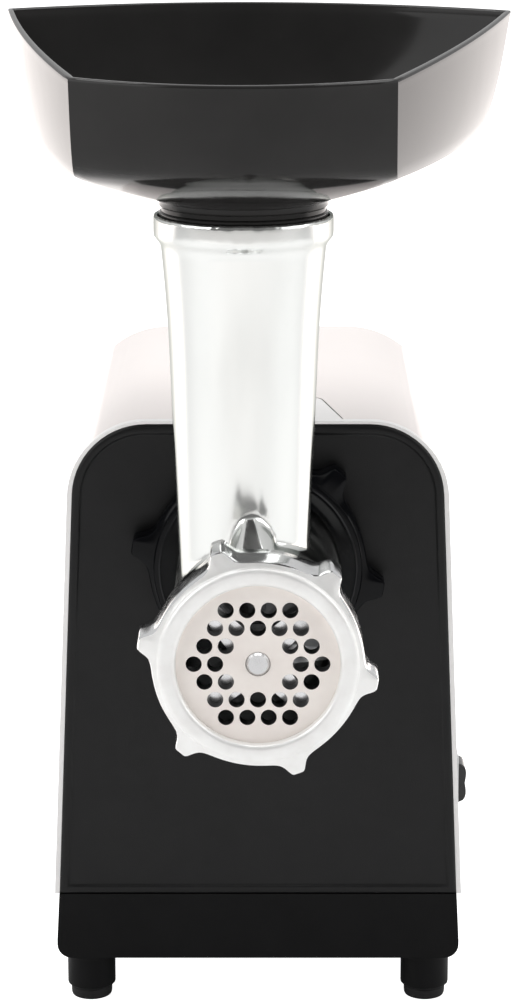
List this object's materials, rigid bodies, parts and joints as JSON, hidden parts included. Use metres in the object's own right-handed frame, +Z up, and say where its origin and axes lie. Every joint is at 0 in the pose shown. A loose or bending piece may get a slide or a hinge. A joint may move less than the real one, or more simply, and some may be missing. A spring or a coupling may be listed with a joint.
{
  "type": "electric meat grinder",
  "caption": "Upright motor housing with a cast screw barrel in front, lobed clamping nuts, a perforated cutting plate and a loading tray on the feed tube.",
  "frame": {"origin": "on the table under the middle of the whole object's box", "axes": "+X to the right seen from the front, +Y from the screw barrel to the back of the housing, +Z up"},
  "size_m": [0.1688, 0.3238, 0.3495],
  "materials": {
    "panel_black": "satin, fine grain",
    "trim_silver": "silver paint, gloss",
    "shell_silver": "pale silver paint, gloss",
    "cover_black": "fine grain",
    "base_black": "satin, fine grain",
    "pad_rubber": "matt",
    "screw_steel": "zinc plated",
    "bezel_grey": "satin",
    "switch_black": "gloss",
    "socket_black": "glass-filled nylon",
    "die_cast": "die cast, matt",
    "bush_bronze": "sintered",
    "shaft_steel": "ground",
    "gear_nylon": "natural nylon",
    "gear_steel": "sintered steel",
    "bearing_steel": "polished",
    "core_steel": "stacked laminations",
    "coil_copper": "enamelled copper wire",
    "commutator_copper": "bare copper",
    "holder_brown": "phenolic",
    "brush_carbon": "carbon",
    "spring_brass": "wire",
    "cradle_steel": "zinc-plated sheet",
    "board_green": "circuit board",
    "capacitor_yellow": "cast resin",
    "cast_aluminium": "polished casting",
    "ring_aluminium": "satin casting, polished edge",
    "auger_cast": "casting",
    "knife_steel": "ground stainless",
    "plate_steel": "ground, slightly warm",
    "washer_nylon": "white nylon",
    "lock_black": "gloss",
    "tray_black": "high gloss"
  },
  "bodies": {
    "housing": {"front_panel": "panel_black", "front_trim": "trim_silver", "top_shell": "shell_silver", "rear_cover": "cover_black", "base_tub": "base_black", "foot_legs": "base_black", "foot_pads": "pad_rubber", "base_screws": "screw_steel", "rear_screws": "screw_steel", "switch_bezel": "bezel_grey", "switch_body": "switch_black", "cord_gland": "cover_black", "head_socket": "socket_black", "gearbox_case": "die_cast", "gearbox_cover": "die_cast", "gearbox_screws": "screw_steel", "output_bushes": "bush_bronze", "first_axle": "shaft_steel", "second_axle": "shaft_steel", "motor_bearings": "bearing_steel", "front_bracket": "die_cast", "rear_bracket": "die_cast", "motor_screws": "screw_steel", "motor_stator": "core_steel", "field_coils": "coil_copper", "brush_holders": "holder_brown", "carbon_brushes": "brush_carbon", "brush_springs": "spring_brass", "motor_cradle": "cradle_steel", "cradle_pads": "pad_rubber", "terminal_board": "board_green", "capacitor": "capacitor_yellow"},
    "rotor": {"motor_pinion": "gear_steel", "motor_shaft": "shaft_steel", "armature_core": "core_steel", "armature_windings": "coil_copper", "commutator": "commutator_copper", "cooling_fan": "socket_black"},
    "first_stage": {"first_gear": "gear_nylon"},
    "second_stage": {"second_gear": "gear_steel"},
    "drive": {"drive_gear": "gear_nylon", "output_shaft": "shaft_steel"},
    "rocker": {"switch_rocker": "switch_black"},
    "head": {"head_body": "cast_aluminium", "feed_tube": "cast_aluminium", "plate_key": "shaft_steel", "auger_washer": "washer_nylon"},
    "screw": {"auger": "auger_cast", "auger_flight": "auger_cast", "auger_shaft": "shaft_steel", "knife": "knife_steel"},
    "plate": {"cutting_plate": "plate_steel"},
    "ring": {"ring_nut": "ring_aluminium"},
    "lock": {"lock_nut": "lock_black"},
    "tray": {"tray": "tray_black", "tray_neck": "tray_black"}
  },
  "joints": [
    {"name": "motor_spin", "type": "hinge", "parent": "housing", "child": "rotor", "pos_m": [0.00128, 0.0885, 0.08582], "axis": [0, 1, 0], "continuous": true},
    {"name": "first_gear_spin", "type": "hinge", "parent": "housing", "child": "first_stage", "pos_m": [0.01154, 0.0335, 0.11401], "axis": [0, 1, 0], "continuous": true},
    {"name": "second_gear_spin", "type": "hinge", "parent": "housing", "child": "second_stage", "pos_m": [-0.02175, 0.0185, 0.12483], "axis": [0, 1, 0], "continuous": true},
    {"name": "drive_spin", "type": "hinge", "parent": "housing", "child": "drive", "pos_m": [0, 0.0095, 0.1625], "axis": [0, 1, 0], "continuous": true},
    {"name": "switch_rock", "type": "hinge", "parent": "housing", "child": "rocker", "pos_m": [0.0654, 0.0085, 0.072], "axis": [0, 1, 0], "range_deg": [-12, 12]},
    {"name": "head_pull", "type": "slide", "parent": "housing", "child": "head", "axis": [0, -1, 0], "range_m": [0, 0.028]},
    {"name": "lock_nut_turn", "type": "hinge", "parent": "head", "child": "lock", "pos_m": [0, -0.0335, 0.1625], "axis": [0, -1, 0], "range_deg": [0, 1260]},
    {"name": "screw_spin", "type": "hinge", "parent": "head", "child": "screw", "pos_m": [0, -0.0865, 0.1625], "axis": [0, 1, 0], "continuous": true},
    {"name": "plate_pull", "type": "slide", "parent": "head", "child": "plate", "axis": [0, -1, 0], "range_m": [0, 0.015]},
    {"name": "ring_nut_turn", "type": "hinge", "parent": "plate", "child": "ring", "pos_m": [0, -0.1445, 0.1625], "axis": [0, -1, 0], "range_deg": [0, 1800]},
    {"name": "tray_lift", "type": "slide", "parent": "head", "child": "tray", "axis": [0, 0, 1], "range_m": [0, 0.03]}
  ],
  "couplings": [
    {"joint": "first_gear_spin", "follows": "motor_spin", "ratio": -0.2},
    {"joint": "second_gear_spin", "follows": "motor_spin", "ratio": 0.054545},
    {"joint": "drive_spin", "follows": "motor_spin", "ratio": -0.014229},
    {"joint": "screw_spin", "follows": "motor_spin", "ratio": -0.014229},
    {"joint": "lock_nut_turn", "follows": "head_pull", "rad_per_m": 785.4},
    {"joint": "plate_pull", "follows": "ring_nut_turn", "m_per_rad": 0.00047746}
  ]
}
